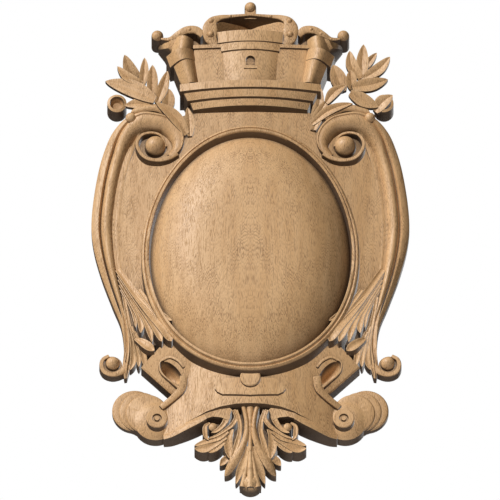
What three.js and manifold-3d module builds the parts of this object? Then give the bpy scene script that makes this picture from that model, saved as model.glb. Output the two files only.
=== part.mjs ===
import * as THREE from "three";
import { mergeVertices } from "three/addons/utils/BufferGeometryUtils.js";
import Module from "manifold-3d";

// A carved oak cartouche: a bowed plate with a domed oval field in a moulded ring, a mural crown above it,
// scrolled bands down both sides, laurel sprays, acanthus, rolled lower corners and a hanging palmette.
// It is carved from one block, so every form below is a closed relief that stands on the flat back, and
// all of them are joined into one solid.
// Millimetres. X runs to the right, Z up, and the back lies in the plane y = 0 with the carving towards -Y.
// The origin is on the back, behind the middle of the oval field. A place is [x, z], on the left half where
// the form is mirrored, and a depth is a height above the back.

// Driving dimensions

const oak = { colour: 0xc89b66, roughness: 0.55, metalness: 0 };

// Oval field and its ring
const ringHalfWidth = 115.5; // to the inner edge of the crest
const ringHalfHeight = 145;
const ringCrest = 66; // depth of the crest at the top and foot of the ring
const ringBow = 21; // how much lower the crest lies at the sides
const fieldDrop = 17; // from the crest down to the edge of the field
const fieldMiddle = 71; // depth of the dome's middle
const fieldRound = 4; // power of the dome's fall towards its edge
// Across the ring from the crest's inner edge: distance outward, depth below the crest
const ringSection = [[-2.2, 17], [0, 0.8], [3, 0.3], [4.2, 3.4], [5.4, 2.4], [7.4, 3.4], [8.4, 8]];

// Ground behind the ring, and the lower plate that bows forward
const groundMiddle = 31;
const groundFall = 16; // lost between the middle and the side bands
const groundHalfWidth = 150;
const groundTop = [[187, 62], [213, 58]]; // heights and half widths of the neck that runs up behind the crown
const plateMiddle = 43;
const plateBow = 0.00255; // depth lost for each square millimetre of x squared
// Left half of the lower plate's outline, from under the ring down to the arch over the palmette
const plateOutline = [
  [-62, -110], [-71, -151], [-73, -162.5], [-82, -173], [-98, -184], [-107, -203.5],
  [-102.5, -214], [-92.5, -212.5], [-75.5, -204.5], [-55.5, -196], [-49.5, -193], [-34.5, -188.5], [-16.5, -186],
  [0, -185.5],
];
// Bevel along its lower edge as [x, z, depth, width], which drops outward
const plateBevel = [
  [-105, -218.5, 20, 7], [-93.5, -216.5, 22, 7], [-75.5, -207, 28, 7], [-54, -195.5, 34, 5],
];
const bevelDrop = 5;
const flangeRoute = [
  [-101.5, -182.5, 25, 7], [-85.5, -171, 32, 8], [-77.5, -162.5, 36, 9], [-75.5, -150, 39, 9],
];

// Strap between the side band and the plate, rising from its lower edge
const strapEdge = [[-124, -131], [-84.5, -169.5]];
const strapSection = [[0, 20], [1.5, 22], [12, 25], [28, 29], [42, 32]]; // distance in from the edge, depth
const strapHollow = { place: [-89.5, -141], long: 16.5, wide: 8.5, turn: -0.93, floor: 14, bowlDepth: 30 };
const hollowRim = [
  [-81, -161.5, 30, 3], [-93.5, -149, 28, 3], [-103, -137.5, 27, 3], [-101.5, -126.5, 28, 3],
  [-93.5, -123, 30, 3], [-84.5, -126, 32, 3],
];

// Side band: along its outer edge from the foot up and round the volute, as [x, z, rim depth, width]
const bandRoute = [
  [-143, -141, 13, 3], [-145, -126.5, 14.5, 9], [-143.5, -104, 15, 11], [-146.5, -76.5, 16, 13],
  [-156.5, -49, 17, 17], [-169.5, -11, 17, 24], [-178, 23.5, 17, 30], [-180.5, 52.5, 17, 32],
  [-174.5, 107, 18, 32], [-166, 142, 20, 32], [-156, 164, 24, 31], [-141, 179, 29, 28],
  [-123, 184.5, 33, 24], [-106, 182.5, 34, 21.5], [-91.5, 177.5, 34, 20], [-79.5, 165.5, 34, 19],
  [-75, 151.5, 34, 17], [-78, 138, 34, 12], [-88, 126.5, 34, 8],
];
// The scroll's inner turn, a thin rim
const scrollTurn = [
  [-83.5, 132.5, 34, 8], [-93, 125.5, 34, 5.5], [-105, 123, 34, 4.5], [-118.5, 126, 34, 4],
  [-126.5, 135, 34, 4], [-128.5, 145, 34, 4], [-123, 155, 33.5, 3.5], [-111, 158, 33, 3],
  [-101, 154, 32.5, 3], [-95.5, 141.5, 31, 2.5],
];
// Across the band as [part of the width, depth under the rim], and the same points where it turns into a scroll
const bandSection = [[0, 4], [0.08, 0.4], [0.27, 0], [0.37, 4], [0.5, -2], [0.66, -1.6], [0.8, 5], [0.86, 0.8],
  [1, 0.8]];
const scrollSection = [[0, 1.5], [0.06, 0], [0.12, 0], [0.16, 1.2], [0.35, 1.2], [0.55, 2.2], [0.75, 4.6], [0.9, 8],
  [1, 12]];
const scrollFrom = 9; // the route's points between which one section turns into the other
const scrollTo = 12;
const scrollBall = { place: [-107.5, 143.5], radius: 12.3, depth: 25 };
const footCurl = [
  [-139, -123, 14, 9], [-145.5, -132, 14.5, 7.5], [-156.5, -136.5, 14.5, 5.4], [-165.5, -133, 14.5, 5.2],
  [-169, -125, 14.5, 5], [-167, -117, 14.5, 4.6], [-160.5, -113, 14.5, 4.4],
];
const footFloor = { place: [-157.5, -124], radius: 12.4, depth: 9 };
const footBall = { place: [-156, -122], radius: 8.3, depth: 11 };

// Rolled lower corners: [x, z, radius, depth] of each turn, the front one last
const cornerRolls = [
  [-131.5, -179.5, 24.5, 9.5], [-124, -182.5, 24, 13], [-117, -186, 24, 16.5], [-107.5, -195, 24.5, 20.5],
  [-104, -197, 11.5, 27],
];

// Crown: the mouldings of its base, narrower at the foot, and the storeys of its middle tower
const baseBow = 13;
const baseMouldings = [
  { top: 80, foot: 80, from: 200.8, to: 209.6, end: 51, slope: 0 },
  { top: 76.5, foot: 71.4, from: 192.3, to: 203, end: 45.5, slope: 2 },
  { top: 69, foot: 65, from: 184.5, to: 195, end: 38, slope: 2 },
];
const towerBow = 7;
const towerStoreys = [
  { top: 31.5, foot: 28.5, from: 209, to: 254, end: 45, slope: 0 },
  { top: 34, foot: 33, from: 252, to: 261, end: 49, slope: 0 },
  { top: 37.5, foot: 36.5, from: 261, to: 274.5, end: 52, slope: 0 },
];
const curtain = { top: 64, foot: 64, from: 209, to: 259, end: 41, slope: 0 };
const curtainLedge = { top: 65, foot: 65, from: 257, to: 261, end: 46, slope: 0 };
const curtainBow = 4;
const crownRecess = { rows: [[268, 37], [290, 38.5], [297, 30], [301, 8]], middle: 8, fall: 36 };
const windowHalfWidth = 5.4;
const windowFoot = 233.5;
const windowSpring = 240;
const windowFloor = 42;
const sill = { top: 7.5, foot: 7.5, from: 228.5, to: 231, end: 54.5, slope: 0 };
const sideTower = [ // leaning outward, as [x, z, depth, width] up each storey
  [[-67, 213.5, 49, 21], [-75, 244.5, 51, 27]],
  [[-76, 240.5, 54, 31], [-79.5, 254, 54, 33]],
  [[-78, 249.5, 50, 25], [-76.5, 261, 50, 24], [-75, 272.5, 48, 21]],
];
const sideTowerEdge = 35;
const mainArch = [
  [0, 300.5, 44, 3], [-23, 298.5, 44, 4.5], [-35.5, 296.5, 45, 6.5], [-43, 292.5, 46, 9.5],
  [-47, 284.5, 46, 14.5], [-47, 277, 46, 15], [-44.5, 269.5, 45, 13], [-40, 263, 45, 6],
];
const sideArch = [
  [-101.5, 274, 36, 2.5], [-91.5, 273, 38, 5], [-82, 277.5, 41, 8], [-72, 282.5, 42, 9.5],
  [-61.5, 282.5, 42, 9.5], [-54, 276, 42, 8],
];
const sideRecess = [[-100.5, 282], [-96, 264.5], [-76.5, 229.5], [-48, 254.5], [-48, 289.5], [-73, 289.5], [-89, 282]];
const sideRecessDepth = 20;
// Pearls on the arches as [x, z, depth, radius]
const pearls = [
  [-44.5, 291.5, 45, 3], [-45, 275, 45, 3.8], [-69, 283, 41, 2.2],
];
const finials = [[-106, 279.5, 30, 6.8]];
const topBall = [0, 312.5, 36, 6.8];
const topPost = { top: 5.5, foot: 7, from: 298, to: 311, end: 38, slope: 0 };

// Laurel sprays, which differ: leaves by root, tip, width, sideways bend, and depth at root and tip
const leftSpray = [
  { root: [-123, 221], tip: [-143, 255.5], width: 15, bend: -3, depth: [24, 32] },
  { root: [-123, 220.5], tip: [-151, 242.5], width: 11, bend: -4, depth: [31, 29] },
  { root: [-123, 217], tip: [-120, 251.5], width: 10, bend: 1, depth: [30, 33] },
  { root: [-108.5, 197.5], tip: [-164.5, 225.5], width: 20, bend: 3, depth: [35, 26] },
  { root: [-111.5, 203.5], tip: [-111, 241], width: 12.5, bend: 0, depth: [31, 36] },
  { root: [-106, 195], tip: [-94, 234], width: 12, bend: 1, depth: [32, 35] },
  { root: [-93.5, 187], tip: [-92.5, 213], width: 14.5, bend: 0, depth: [28, 32] },
  { root: [-72, 156], tip: [-107, 193.5], width: 14, bend: 4, depth: [32, 37] },
  { root: [-68.5, 154.5], tip: [-71.5, 190.5], width: 11, bend: 1, depth: [30, 30] },
  { root: [-114, 192.5], tip: [-142.5, 194.5], width: 12, bend: 2, depth: [31, 27] },
];
const rightSpray = [
  { root: [125.5, 224], tip: [128.5, 268.5], width: 14, bend: 0, depth: [30, 32] },
  { root: [125.5, 226.5], tip: [112.5, 260], width: 13.5, bend: -4, depth: [31, 33] },
  { root: [126.5, 237], tip: [143.5, 259.5], width: 9, bend: 0, depth: [27, 29] },
  { root: [129, 227], tip: [158.5, 253.5], width: 13.5, bend: 3, depth: [31, 31] },
  { root: [115.5, 214], tip: [156, 226.5], width: 16, bend: 2, depth: [34, 28] },
  { root: [113, 206.5], tip: [145, 191], width: 16, bend: 1, depth: [35, 30] },
  { root: [141.5, 187], tip: [161.5, 207], width: 15, bend: -2, depth: [26, 28] },
  { root: [105, 210.5], tip: [94, 242.5], width: 18, bend: 0, depth: [30, 33] },
  { root: [115.5, 213], tip: [113.5, 235.5], width: 12, bend: 0, depth: [30, 34] },
  { root: [86, 194], tip: [108.5, 216], width: 12, bend: -3, depth: [35, 35] },
  { root: [71, 162], tip: [80.5, 214.5], width: 13, bend: 1, depth: [30, 30] },
  { root: [70, 168.5], tip: [116, 193], width: 11, bend: -5, depth: [33, 36] },
  { root: [72, 162], tip: [88, 199], width: 12, bend: -2, depth: [31, 33] },
];
// Under each spray: the stem that runs over the volute to a small bulb, a cupped leaf and a keeled one
const stem = [[-84.5, 175.5, 33, 8], [-106, 189.5, 33, 9], [-125.5, 187.5, 32, 8], [-135.5, 184.5, 31, 8]];
const bulb = [-135.5, 178.5, 27, 6.4];
const cup = { place: [-151.5, 197.5], radius: 11, depth: 27, dish: 8, floor: 17 };
const keel = {
  front: [[-164, 179.5], [-157, 178.5], [-148, 180], [-141, 184.5], [-155, 187.5], [-163, 186.5], [-168, 182.5]],
  back: [[-164, 182], [-156, 172], [-149, 180], [-141, 194], [-155, 199], [-163, 197.5], [-168, 195]],
  depth: 27,
};

// Acanthus where the band meets the ring, each lobe as [x, z, depth, width] from its root to its tip
const acanthus = [
  [[-147, -21, 18, 8], [-126.5, -51.5, 29, 11], [-106, -82.5, 42, 13], [-93.5, -106, 49, 16], [-92, -122.5, 50, 13]],
  [[-145.5, -28.5, 18, 8], [-127.5, -58.5, 27, 10], [-113, -88, 40, 10], [-105, -108, 46, 11], [-102, -122, 48, 7]],
  [[-142.5, -34.5, 18, 8], [-127.5, -64.5, 26, 9], [-117.5, -91, 35, 8], [-111.5, -105.5, 40, 8], [-111.5, -116.5, 40, 4]],
  [[-141, -39.5, 18, 8], [-130, -65, 25, 9], [-124, -85.5, 30, 11], [-126.5, -101.5, 30, 6]],
  [[-132, -101.5, 26, 4], [-124, -111.5, 33, 9], [-116, -118.5, 37, 11], [-109.5, -122, 37, 6]],
  [[-142.5, -66.5, 17, 9], [-138.5, -94, 18, 11], [-137, -118.5, 16, 11], [-141, -138.5, 13, 4]],
  [[-132, -83.5, 22, 7], [-131, -106, 21, 8], [-131.5, -122.5, 18, 7], [-134, -134, 15, 4]],
  [[-127.5, -102, 24, 7], [-124.5, -119.5, 24, 10], [-123, -135, 21, 10]],
  [[-123, -45.5, 29, 5], [-111.5, -65, 37, 9], [-101.5, -80, 43, 9], [-89, -94, 45, 4]],
];

// Palmette below the plate, in the same way, with the drop at its foot
const palmetteMiddle = [
  [0, -181.5, 34, 12], [0, -214, 31, 8], [0, -238, 28, 8], [0, -262, 26, 17],
  [0, -278.5, 23, 23],
];
const palmette = [
  [[-6, -183.5, 34, 8], [-3.5, -212, 33, 7], [-8.5, -233.5, 31, 9], [-19, -252, 23, 10], [-28.5, -266, 13, 3]],
  [[-3.5, -235, 27, 5], [-10.5, -254.5, 22, 8], [-17, -274.5, 12, 4.5]],
  [[-12, -212.5, 27, 5], [-14.5, -232, 27, 7], [-22, -248, 24, 5]],
  [[-21.5, -211.5, 30, 5], [-25, -226, 30, 9], [-25, -239.5, 27, 10], [-22, -249, 24, 5]],
  [[-24.5, -237.5, 16, 9], [-29, -243.5, 14, 9], [-34.5, -250.5, 12, 5]],
  [[-12, -185, 34, 8], [-16, -199.5, 33, 7], [-26.5, -216.5, 31, 8], [-39, -229.5, 28, 12],
    [-51.5, -235.5, 26, 13], [-63, -233.5, 24, 3]],
  [[-23, -189, 34, 8], [-29.5, -199.5, 33, 7], [-33, -210, 31, 5.5], [-40.5, -216, 30, 4], [-47, -215, 29, 3]],
  [[-38, -226.5, 27, 3], [-46.5, -223, 28, 5], [-50.5, -215, 29, 5.5], [-48.5, -207, 29, 5], [-42.5, -205, 30, 3]],
];
// Shelf over the side scroll, and the ground that carries the leaves
const palmetteShelf = [
  [-54.5, -191], [-54, -197.5], [-50.5, -199], [-42.5, -196.5], [-32, -197], [-23, -191], [-23, -179.5],
  [-41.5, -179.5],
];
const palmetteShelfDepth = 32;
const palmetteBacking = [
  [0, -267.5], [-14, -255], [-27.5, -237.5], [-32, -225], [-43.5, -205], [-41.5, -186], [-27.5, -172.5],
  [0, -167.5],
];
const palmetteBackingDepth = 12;
const palmetteEye = [-42, -209, 4.8, 31.5];
const drop = { place: [0, -272.5], halfWidth: 12.4, halfHeight: 11.5, depth: 22 };

// Tabs below the ring
const lipTab = { place: [0, -157], radius: 11.6, lift: 10 }; // height over the plate
const lowerTab = [[0, -155.5], [-27.5, -155.5], [-40.5, -167.5], [-37.5, -172], [-31.5, -175.5], [0, -177.5]];
const lowerTabLift = 5;

// Geometry helpers

const stock = 5; // every form runs this far behind the back, and one cut at the end makes the back flat

const wasm = await Module();
wasm.setup();

// A closed mesh as a solid for joining and cutting, turned to face outward.
function solid(geometry) {
  geometry.deleteAttribute("normal");
  geometry.deleteAttribute("uv");
  const merged = mergeVertices(geometry, 1e-4);
  const places = merged.attributes.position.array;
  const corners = [];
  let volume = 0;
  for (let i = 0; i < merged.index.count; i += 3) {
    const [a, b, c] = [0, 1, 2].map((k) => merged.index.getX(i + k));
    if (a === b || b === c || c === a) continue;
    corners.push(a, b, c);
    const [p, q, r] = [a, b, c].map((k) => new THREE.Vector3().fromArray(places, 3 * k));
    volume += p.dot(q.cross(r));
  }
  if (volume < 0) corners.reverse();
  return new wasm.Manifold(new wasm.Mesh({ numProp: 3, vertProperties: places, triVerts: new Uint32Array(corners) }));
}

// The solid between the back and a skin of carved points [x, z, depth], given as rails side by side. Only the
// outer rails reach the back. Rails close on themselves, or else they end in straight rows, which are capped.
function relief(rails, closed = false) {
  const count = rails[0].length;
  const last = rails.length - 1;
  const places = rails.flat().map(([x, z, depth]) => [x, -depth, z]);
  for (const rail of [rails[0], rails[last]]) places.push(...rail.map(([x, z]) => [x, stock, z]));
  const front = (k, j) => k * count + (j % count);
  const back = (k, j) => (last + 1 + k) * count + (j % count);
  const index = [];
  const quad = (a, b, c, d) => index.push(a, b, c, a, c, d);
  for (let j = 0; j < (closed ? count : count - 1); j++) {
    for (let k = 0; k < last; k++) quad(front(k, j), front(k, j + 1), front(k + 1, j + 1), front(k + 1, j));
    quad(back(1, j), back(1, j + 1), back(0, j + 1), back(0, j));
    quad(back(0, j), back(0, j + 1), front(0, j + 1), front(0, j));
    quad(front(last, j), front(last, j + 1), back(1, j + 1), back(1, j));
  }
  if (!closed) {
    for (const j of [0, count - 1]) {
      const edge = [back(0, j), ...rails.map((rail, k) => front(k, j)), back(1, j)];
      const [x0, , z0] = places[edge[0]];
      const outline = edge.map((i) => new THREE.Vector2(Math.hypot(places[i][0] - x0, places[i][2] - z0), -places[i][1]));
      for (const [a, b, c] of THREE.ShapeUtils.triangulateShape(outline, [])) {
        index.push(...(j ? [edge[a], edge[b], edge[c]] : [edge[a], edge[c], edge[b]]));
      }
    }
  }
  const geometry = new THREE.BufferGeometry();
  geometry.setAttribute("position", new THREE.Float32BufferAttribute(places.flat(), 3));
  geometry.setIndex(index);
  return solid(geometry);
}

// The same from its straight rows.
const across = (rows) => relief(rows[0].map((_, k) => rows.map((row) => row[k])));

const steps = (count) => Array.from({ length: count + 1 }, (_, i) => i / count);
const mix = (a, b, t) => a + (b - a) * t;
const clamp = (value) => Math.min(1, Math.max(0, value));

// Places along a route of [x, z, depth, width], with the direction across it to the right of travel.
function along(route, perSpan) {
  const curve = new THREE.CatmullRomCurve3(route.map(([x, z, depth]) => new THREE.Vector3(x, z, depth)));
  const spans = route.length - 1;
  return steps(spans * perSpan).map((t) => {
    const place = curve.getPoint(t);
    const ahead = curve.getTangent(t);
    const length = Math.hypot(ahead.x, ahead.y);
    const span = Math.min(spans - 1, Math.floor(t * spans));
    const width = mix(route[span][3], route[span + 1][3], t * spans - span);
    return { x: place.x, z: place.y, depth: place.z, width, across: [ahead.y / length, -ahead.x / length], at: t * spans };
  });
}

// A ribbon on a route: section gives, for each place, its points as [offset across, depth].
const ribbon = (route, perSpan, section) =>
  across(along(route, perSpan).map((place) =>
    section(place).map(([offset, depth]) => [place.x + place.across[0] * offset, place.z + place.across[1] * offset, depth])));

// A lobe with a hollow down its middle, centred on its route.
const lobe = (route, hollow = 2.5) =>
  ribbon(route, 1, ({ depth, width }) =>
    [[-0.5, 0.5], [0, Math.min(hollow, width / 4)], [0.5, 0.5]].map(([u, drop]) => [u * width, depth - drop]));

// The section of a flat ribbon with softened edges.
const flat = ({ depth, width }) => [[-0.5, 1.2], [-0.3, 0], [0.3, 0], [0.5, 1.2]].map(([u, drop]) => [u * width, depth - drop]);

// A half-round member on a route, whose edges lie at their own depth.
const halfRound = (route, edge, perSpan = 1) =>
  ribbon(route, perSpan, ({ depth, width }) =>
    steps(5).map((t) => [(t - 0.5) * width, mix(edge, depth, Math.sin(Math.PI * mix(0.06, 0.94, t)))]));

// A laurel leaf with a sharp ridge: its width swells from the root and runs out to the tip.
function leaf({ root, tip, width, bend, depth }) {
  const [dx, dz] = [tip[0] - root[0], tip[1] - root[1]];
  const length = Math.hypot(dx, dz);
  const rows = [0, 0.22, 0.5, 0.8, 1].map((t) => {
    const swell = Math.sin(Math.PI * mix(0.12, 0.97, t) ** 1.1) ** 0.8;
    const aside = bend * Math.sin(Math.PI * t);
    const half = (width / 2) * Math.max(0.03, swell);
    const middle = [root[0] + dx * t + (dz / length) * aside, root[1] + dz * t - (dx / length) * aside];
    const level = mix(depth[0], depth[1], t);
    return [[-1, 3.5], [0, 0], [1, 3.5]].map(([u, drop]) =>
      [middle[0] + (dz / length) * half * u, middle[1] - (dx / length) * half * u, level - drop * swell]);
  });
  return across(rows);
}

// A disc standing on the back: profile gives [part of the radius, depth] from the middle out.
const disc = ([x, z], radius, profile, sides = 24, height = radius) =>
  relief(profile.map(([part, depth]) =>
    steps(sides).slice(0, -1).map((t) =>
      [x + radius * part * Math.cos(2 * Math.PI * t), z + height * part * Math.sin(2 * Math.PI * t), depth])), true);

// A ball on a round stub: its centre lies at the given depth.
const ball = ([x, z, depth, radius], sides = 12) =>
  disc([x, z], radius, [0, 40, 90].map((turn) => {
    const angle = THREE.MathUtils.degToRad(turn);
    return [Math.sin(angle), depth + radius * Math.cos(angle)];
  }), sides);

// A moulding that bows forward between its ends.
const bowed = ({ top, foot, from, to, end, slope }, bow, spans = 8) =>
  across([[from, foot, slope], [to, top, 0]].map(([z, halfWidth, back]) =>
    steps(spans).map((t) => [mix(-halfWidth, halfWidth, t), z, end - back + bow * (1 - (2 * t - 1) ** 2)])));

// A straight-sided block on an outline of [x, z].
function prism(outline, depth) {
  const shape = new THREE.Shape(outline.map(([x, z]) => new THREE.Vector2(x, z)));
  const block = new THREE.ExtrudeGeometry(shape, { depth: depth + stock, bevelEnabled: false });
  return solid(block.rotateX(Math.PI / 2).translate(0, stock, 0));
}

// The solid between two anticlockwise outlines of equally many points, one on the back and one at a depth.
function loft(back, front, depth) {
  const count = front.length;
  const faces = THREE.ShapeUtils.triangulateShape(front.map(([x, z]) => new THREE.Vector2(x, z)), []);
  const index = [];
  for (const [a, b, c] of faces) index.push(a, b, c, c + count, b + count, a + count);
  for (let i = 0; i < count; i++) {
    const j = (i + 1) % count;
    index.push(j, i, i + count, j, i + count, j + count);
  }
  const geometry = new THREE.BufferGeometry();
  const places = [...front.map(([x, z]) => [x, -depth, z]), ...back.map(([x, z]) => [x, stock, z])];
  geometry.setAttribute("position", new THREE.Float32BufferAttribute(places.flat(), 3));
  geometry.setIndex(index);
  return solid(geometry);
}

const join = (solids) => solids.reduce((whole, next) => whole.add(next));
const bothSides = (made) => made.add(made.mirror([1, 0, 0]));
const mirrored = (outline) =>
  [...outline, ...outline.filter(([x]) => x !== 0).reverse().map(([x, z]) => [-x, z])];

// Sub-parts

// The ring's crest and everything that follows it is bowed across the cartouche.
const crestAt = (x) => ringCrest - ringBow * (x / ringHalfWidth) ** 2;

function ring() {
  const rows = ringSection.map(([out, drop]) =>
    steps(36).slice(0, -1).map((t) => {
      const [cos, sin] = [Math.cos(2 * Math.PI * t), Math.sin(2 * Math.PI * t)];
      const x = (ringHalfWidth + out) * cos;
      return [x, (ringHalfHeight + out) * sin, crestAt(Math.min(ringHalfWidth, Math.abs(x))) - drop];
    }));
  return relief(rows, true);
}

function field() {
  const reach = 0.5 - ringSection[0][0]; // runs a little under the ring
  const rows = [0, 0.5, 0.75, 0.9, 1].map((part) =>
    steps(36).slice(0, -1).map((t) => {
      const x = (ringHalfWidth - 2 + reach * part) * part * Math.cos(2 * Math.PI * t);
      const z = (ringHalfHeight - 2 + reach * part) * part * Math.sin(2 * Math.PI * t);
      const edge = crestAt(ringHalfWidth * Math.cos(2 * Math.PI * t)) - fieldDrop;
      return [x, z, mix(fieldMiddle, edge, part ** fieldRound)];
    }));
  return relief(rows, true);
}

const groundAt = (x) => groundMiddle - groundFall * Math.min(1, Math.abs(x) / groundHalfWidth) ** 1.5;
const plateAt = (x) => plateMiddle - plateBow * x * x;
const plateSkin = (lift) =>
  across([-250, -90].map((z) => steps(8).map((t) => [mix(-112, 112, t), z, plateAt(mix(-112, 112, t)) + lift])));

function ground() {
  const edge = along(bandRoute.slice(2, 12), 1).map(({ x, z, width, across: [out, up] }) =>
    [Math.abs(x + out * width * 0.7), z + up * width * 0.7]);
  const rows = [...edge.map(([halfWidth, z]) => [z, halfWidth]), ...groundTop];
  return across(rows.map(([z, halfWidth]) =>
    steps(6).map((t) => [mix(-halfWidth, halfWidth, t), z, groundAt(mix(-halfWidth, halfWidth, t))])));
}

function lowerPlate() {
  const bevel = ribbon(plateBevel, 1, ({ depth, width }) =>
    [[-0.6, depth], [-0.5, depth], [0.5, depth - bevelDrop]].map(([u, level]) => [-u * width, level]));
  return prism(mirrored(plateOutline), plateMiddle + 1).intersect(plateSkin(0)).add(bothSides(bevel));
}

const flange = () => ribbon(flangeRoute, 1, flat);

function strap() {
  const [[x0, z0], [x1, z1]] = strapEdge;
  const length = Math.hypot(x1 - x0, z1 - z0);
  const inward = [-(z1 - z0) / length, (x1 - x0) / length];
  const rows = steps(2).map((t) => strapSection.map(([inset, depth]) =>
    [mix(x0, x1, t) + inward[0] * inset, mix(z0, z1, t) + inward[1] * inset, depth]));
  const { place, long, wide, turn, floor, bowlDepth } = strapHollow;
  const bowl = new THREE.SphereGeometry(1, 14, 8).scale(long, bowlDepth, wide).rotateY(-turn);
  bowl.translate(place[0], -floor - bowlDepth, place[1]);
  const rim = ribbon(hollowRim, 1, ({ depth, width }) => [[-0.5 * width, depth], [0.5 * width, depth]]);
  return across(rows).add(rim).subtract(solid(bowl));
}

function sideBand() {
  const section = ({ depth, width, at }) => {
    const turn = clamp((at - scrollFrom) / (scrollTo - scrollFrom));
    const shallow = Math.min(1, width / 18);
    return bandSection.map(([part, drop], i) => {
      const [scrollPart, scrollDrop] = scrollSection[i];
      return [mix(part, scrollPart, turn) * width, depth - mix(drop, scrollDrop, turn) * shallow];
    });
  };
  return join([
    ribbon(bandRoute, 1, section),
    ball([...scrollBall.place, scrollBall.depth, scrollBall.radius], 14),
    ribbon(scrollTurn, 1, flat),
    ribbon(footCurl, 1, flat),
    disc(footFloor.place, footFloor.radius, [[0, footFloor.depth], [1, footFloor.depth]], 16),
    ball([...footBall.place, footBall.depth, footBall.radius], 12),
  ]);
}

const dish = ({ place, radius, depth, dish: inner, floor }) =>
  disc(place, radius, [[0, floor], [(inner * 0.8) / radius, floor], [inner / radius, depth], [1, depth - 1]], 12);

const cornerScroll = () =>
  join(cornerRolls.map(([x, z, radius, depth]) =>
    disc([x, z], radius, [[0, depth], [0.86, depth], [1, depth - 3]], 16)));

const crownBase = () => join(baseMouldings.map((moulding) => bowed(moulding, baseBow)));

function middleTower() {
  const { rows, middle, fall } = crownRecess;
  const recess = across(rows.map(([z, halfWidth]) =>
    [-1, 0, 1].map((u) => [u * halfWidth, z, middle + (Math.abs(u) * halfWidth * fall) / rows[0][1]])));
  const arch = steps(6).map((t) => [windowHalfWidth * Math.cos(Math.PI * t), windowSpring + windowHalfWidth * Math.sin(Math.PI * t)]);
  const opening = prism([...arch, [-windowHalfWidth, windowFoot], [windowHalfWidth, windowFoot]], 70);
  const room = across([200, 270].map((z) => [-20, 20].map((x) => [x, z, windowFloor])));
  const storeys = join(towerStoreys.map((storey) => bowed(storey, towerBow, 6)));
  return storeys.subtract(opening.subtract(room)).add(recess).add(bowed(sill, 0, 1));
}

const curtainWall = () => bowed(curtain, curtainBow, 6).add(bowed(curtainLedge, curtainBow, 6));

const crownSide = () =>
  join([
    ...sideTower.map((route) => halfRound(route, sideTowerEdge)),
    ribbon(mainArch, 1, flat),
    ribbon(sideArch, 1, flat),
    prism(sideRecess, sideRecessDepth),
    ...pearls.map((pearl) => ball(pearl, 6)),
    ...finials.map((finial) => ball(finial, 12)),
  ]);

const sprayFoot = () =>
  join([lobe(stem, 1), ball(bulb, 12), dish(cup), loft(keel.back, keel.front, keel.depth)]);

const acanthusLeaf = () => join(acanthus.map((route) => lobe(route)));

function palmetteLeaves() {
  const [x, z, radius, depth] = palmetteEye;
  return join([
    ...palmette.map((route) => lobe(route)),
    prism(palmetteShelf, palmetteShelfDepth),
    disc([x, z], radius, [[0, depth], [1, depth]], 10),
  ]);
}

function palmetteCore() {
  const { place, halfWidth, halfHeight, depth } = drop;
  return join([
    lobe(palmetteMiddle, 1),
    prism(mirrored([...palmetteBacking].reverse()), palmetteBackingDepth),
    disc(place, halfWidth, [[0, depth], [0.68, depth - 1], [0.9, depth - 9], [1, 3]], 14, halfHeight),
  ]);
}

function tabs() {
  const { place, radius, lift } = lipTab;
  const lip = disc(place, radius, [[0, plateMiddle + lift], [1, plateMiddle + lift]], 20);
  return lip.add(prism(mirrored([...lowerTab].reverse()), plateMiddle + 10).intersect(plateSkin(lowerTabLift)));
}

const half = join([sideBand(), strap(), flange(), cornerScroll(), crownSide(), sprayFoot(), acanthusLeaf(), palmetteLeaves()]);
const whole = join([
  bothSides(half), ring(), field(), ground(), lowerPlate(), crownBase(), middleTower(), curtainWall(), palmetteCore(),
  tabs(), ball(topBall, 14), bowed(topPost, 0, 1), ...leftSpray.map(leaf), ...rightSpray.map(leaf),
]);

const behind = new THREE.BoxGeometry(1000, 2 * stock, 1000).translate(0, stock, 0);
const mesh = whole.subtract(solid(behind)).getMesh();
const geometry = new THREE.BufferGeometry();
geometry.setAttribute("position", new THREE.BufferAttribute(mesh.vertProperties, 3));
geometry.setIndex(new THREE.BufferAttribute(mesh.triVerts, 1));
geometry.computeVertexNormals();

const { colour, roughness, metalness } = oak;
const cartouche = new THREE.Mesh(geometry, new THREE.MeshStandardMaterial({ color: colour, roughness, metalness }));
cartouche.name = "cartouche";
const part = new THREE.Group();
part.add(cartouche);

export default part;
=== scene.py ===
# %% [markdown]
# # A carved oak cartouche
# A cartouche like this one is cut from one glued-up block of light oak: a bowed plate carries a domed oval
# field in a moulded ring, and a mural crown, scrolled bands, laurel, acanthus and a palmette stand round it.
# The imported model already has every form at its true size. This script builds the same carving again with
# finer surfaces, unites it into one piece, and gives it an oiled oak finish.

# %% The frame and its box
import bpy
import numpy as np
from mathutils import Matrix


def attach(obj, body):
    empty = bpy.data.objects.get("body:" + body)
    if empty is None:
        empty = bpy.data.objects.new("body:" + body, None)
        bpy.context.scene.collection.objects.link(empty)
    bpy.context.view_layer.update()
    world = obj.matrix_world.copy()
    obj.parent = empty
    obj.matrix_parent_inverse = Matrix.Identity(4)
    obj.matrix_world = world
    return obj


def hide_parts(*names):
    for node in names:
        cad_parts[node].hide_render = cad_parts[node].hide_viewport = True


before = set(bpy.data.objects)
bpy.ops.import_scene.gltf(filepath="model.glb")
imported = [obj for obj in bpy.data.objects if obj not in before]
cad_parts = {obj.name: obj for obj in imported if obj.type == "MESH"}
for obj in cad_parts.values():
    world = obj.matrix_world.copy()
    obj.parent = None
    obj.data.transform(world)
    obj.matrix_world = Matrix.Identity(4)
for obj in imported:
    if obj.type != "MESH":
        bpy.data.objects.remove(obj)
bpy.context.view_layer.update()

MM = 0.001

# %% [markdown]
# ## One way to make every carved form
# A carved form on a board has a skin that can be seen and a flat back that can't. So each form here is a grid
# of points [x, z, depth], where depth is the height above the back. A second grid behind the back closes it.
# Modelling each form by hand would also work, but a grid from a formula keeps the sizes exact and readable.

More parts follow.
